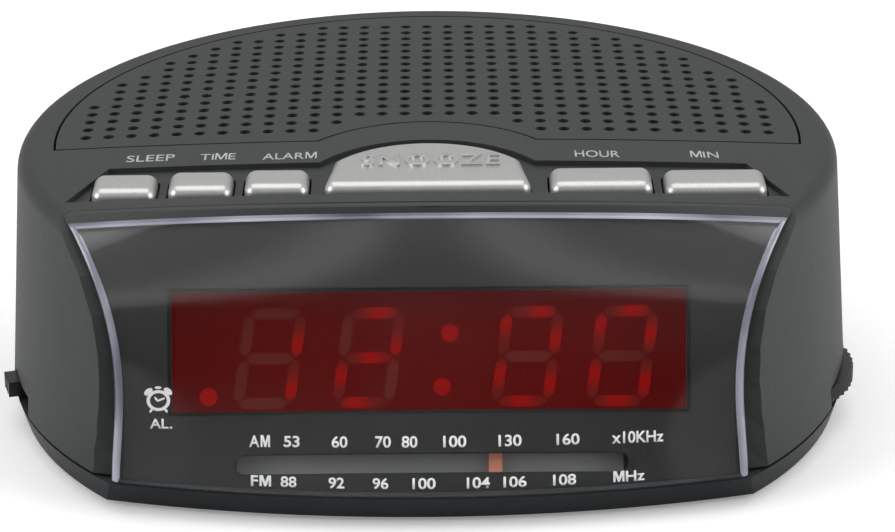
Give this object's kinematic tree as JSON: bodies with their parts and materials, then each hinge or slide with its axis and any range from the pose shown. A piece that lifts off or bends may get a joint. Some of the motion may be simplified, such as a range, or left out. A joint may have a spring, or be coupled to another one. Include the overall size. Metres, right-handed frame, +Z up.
{
  "type": "clock radio",
  "caption": "Drum-shaped table clock radio with a leaning front lens, LED digits, tuning dial, roof keys, speaker grille and side controls.",
  "frame": {"origin": "middle of the footprint box, on the table that the feet stand on", "axes": "+X to the right as seen from the front, +Y to the back, +Z up"},
  "size_m": [0.1616, 0.144, 0.0539],
  "materials": {
    "housing": "fine spark-eroded texture",
    "base": "fine spark-eroded texture",
    "lens": "polished acrylic",
    "bezel": "smooth black",
    "key": "silver lacquer",
    "filter": "red tinted film",
    "led_body": "dark red epoxy",
    "led_light": "lit red epoxy",
    "board": "solder mask",
    "paper_board": "phenolic paper",
    "steel": "zinc plated",
    "pointer": "orange moulded",
    "dial": "grey print",
    "cord": "waxed string",
    "brass": "turned",
    "black": "moulded",
    "nylon": "moulded",
    "can": "drawn",
    "ferrite": "sintered",
    "copper": "enamelled wire",
    "iron": "laminated steel",
    "paper": "pressed paper",
    "rubber": "soft"
  },
  "bodies": {
    "case": {"upper_housing": "housing", "base_cover": "base", "front_lens": "lens", "display_bezel": "bezel", "speaker_grille": "housing", "key_board": "board", "tact_switches": "black", "key_board_screws": "steel", "red_filter": "filter", "led_display": "led_body", "led_segments": "led_light", "clock_board": "board", "clock_board_screws": "steel", "dial_plate": "dial", "pointer_rail": "steel", "dial_cord": "cord", "cord_guides": "brass", "tuning_capacitor": "nylon", "volume_control": "steel", "function_switch": "steel", "band_switch": "steel", "main_board": "paper_board", "board_screws": "steel", "electrolytic_caps": "black", "if_cans": "can", "radio_chip": "black", "ferrite_rod": "ferrite", "aerial_coil": "copper", "rod_holders": "nylon", "transformer_core": "iron", "transformer_winding": "copper", "transformer_screws": "steel", "speaker_basket": "steel", "speaker_cone": "paper", "speaker_magnet": "iron", "speaker_screws": "steel", "battery_contacts": "brass", "lead_bush": "black", "feet": "rubber", "case_screws": "steel"},
    "tuning": {"tuning_wheel": "black", "tuning_shaft": "steel"},
    "volume": {"volume_wheel": "black", "volume_shaft": "steel"},
    "pointer": {"dial_pointer": "pointer"},
    "function": {"function_knob": "black"},
    "band": {"band_knob": "black"},
    "door": {"battery_door": "base"},
    "sleep": {"sleep_key": "key"},
    "time": {"time_key": "key"},
    "alarm": {"alarm_key": "key"},
    "snooze": {"snooze_key": "key"},
    "hour": {"hour_key": "key"},
    "min": {"min_key": "key"}
  },
  "joints": [
    {"name": "sleep_press", "type": "slide", "parent": "case", "child": "sleep", "axis": [0, 0, -1], "range_m": [0, 0.0006], "stiffness_N_per_m": 600, "springref_m": -0.0004},
    {"name": "time_press", "type": "slide", "parent": "case", "child": "time", "axis": [0, 0, -1], "range_m": [0, 0.0006], "stiffness_N_per_m": 600, "springref_m": -0.0004},
    {"name": "alarm_press", "type": "slide", "parent": "case", "child": "alarm", "axis": [0, 0, -1], "range_m": [0, 0.0006], "stiffness_N_per_m": 600, "springref_m": -0.0004},
    {"name": "snooze_press", "type": "slide", "parent": "case", "child": "snooze", "axis": [0, 0, -1], "range_m": [0, 0.0006], "stiffness_N_per_m": 600, "springref_m": -0.0004},
    {"name": "hour_press", "type": "slide", "parent": "case", "child": "hour", "axis": [0, 0, -1], "range_m": [0, 0.0006], "stiffness_N_per_m": 600, "springref_m": -0.0004},
    {"name": "min_press", "type": "slide", "parent": "case", "child": "min", "axis": [0, 0, -1], "range_m": [0, 0.0006], "stiffness_N_per_m": 600, "springref_m": -0.0004},
    {"name": "tuning_turn", "type": "hinge", "parent": "case", "child": "tuning", "pos_m": [0.0608, -0.02151, 0.0082], "axis": [0, 0, 1], "range_deg": [-145, 48.5]},
    {"name": "pointer_slide", "type": "slide", "parent": "case", "child": "pointer", "axis": [1, 0, 0], "range_m": [-0.0366, 0.0124]},
    {"name": "volume_turn", "type": "hinge", "parent": "case", "child": "volume", "pos_m": [-0.06283, 0.01394, 0.0082], "axis": [0, 0, 1], "range_deg": [-150, 120]},
    {"name": "function_slide", "type": "slide", "parent": "case", "child": "function", "axis": [0.2706, -0.9627, 0], "range_m": [0, 0.008]},
    {"name": "band_slide", "type": "slide", "parent": "case", "child": "band", "axis": [-0.2504, 0.9681, 0], "range_m": [0, 0.004]},
    {"name": "door_hinge", "type": "hinge", "parent": "case", "child": "door", "pos_m": [0, 0.00209, 0.002], "axis": [-1, 0, 0], "range_deg": [0, 95]}
  ],
  "couplings": [
    {"joint": "pointer_slide", "follows": "tuning_turn", "m_per_rad": 0.0144}
  ]
}
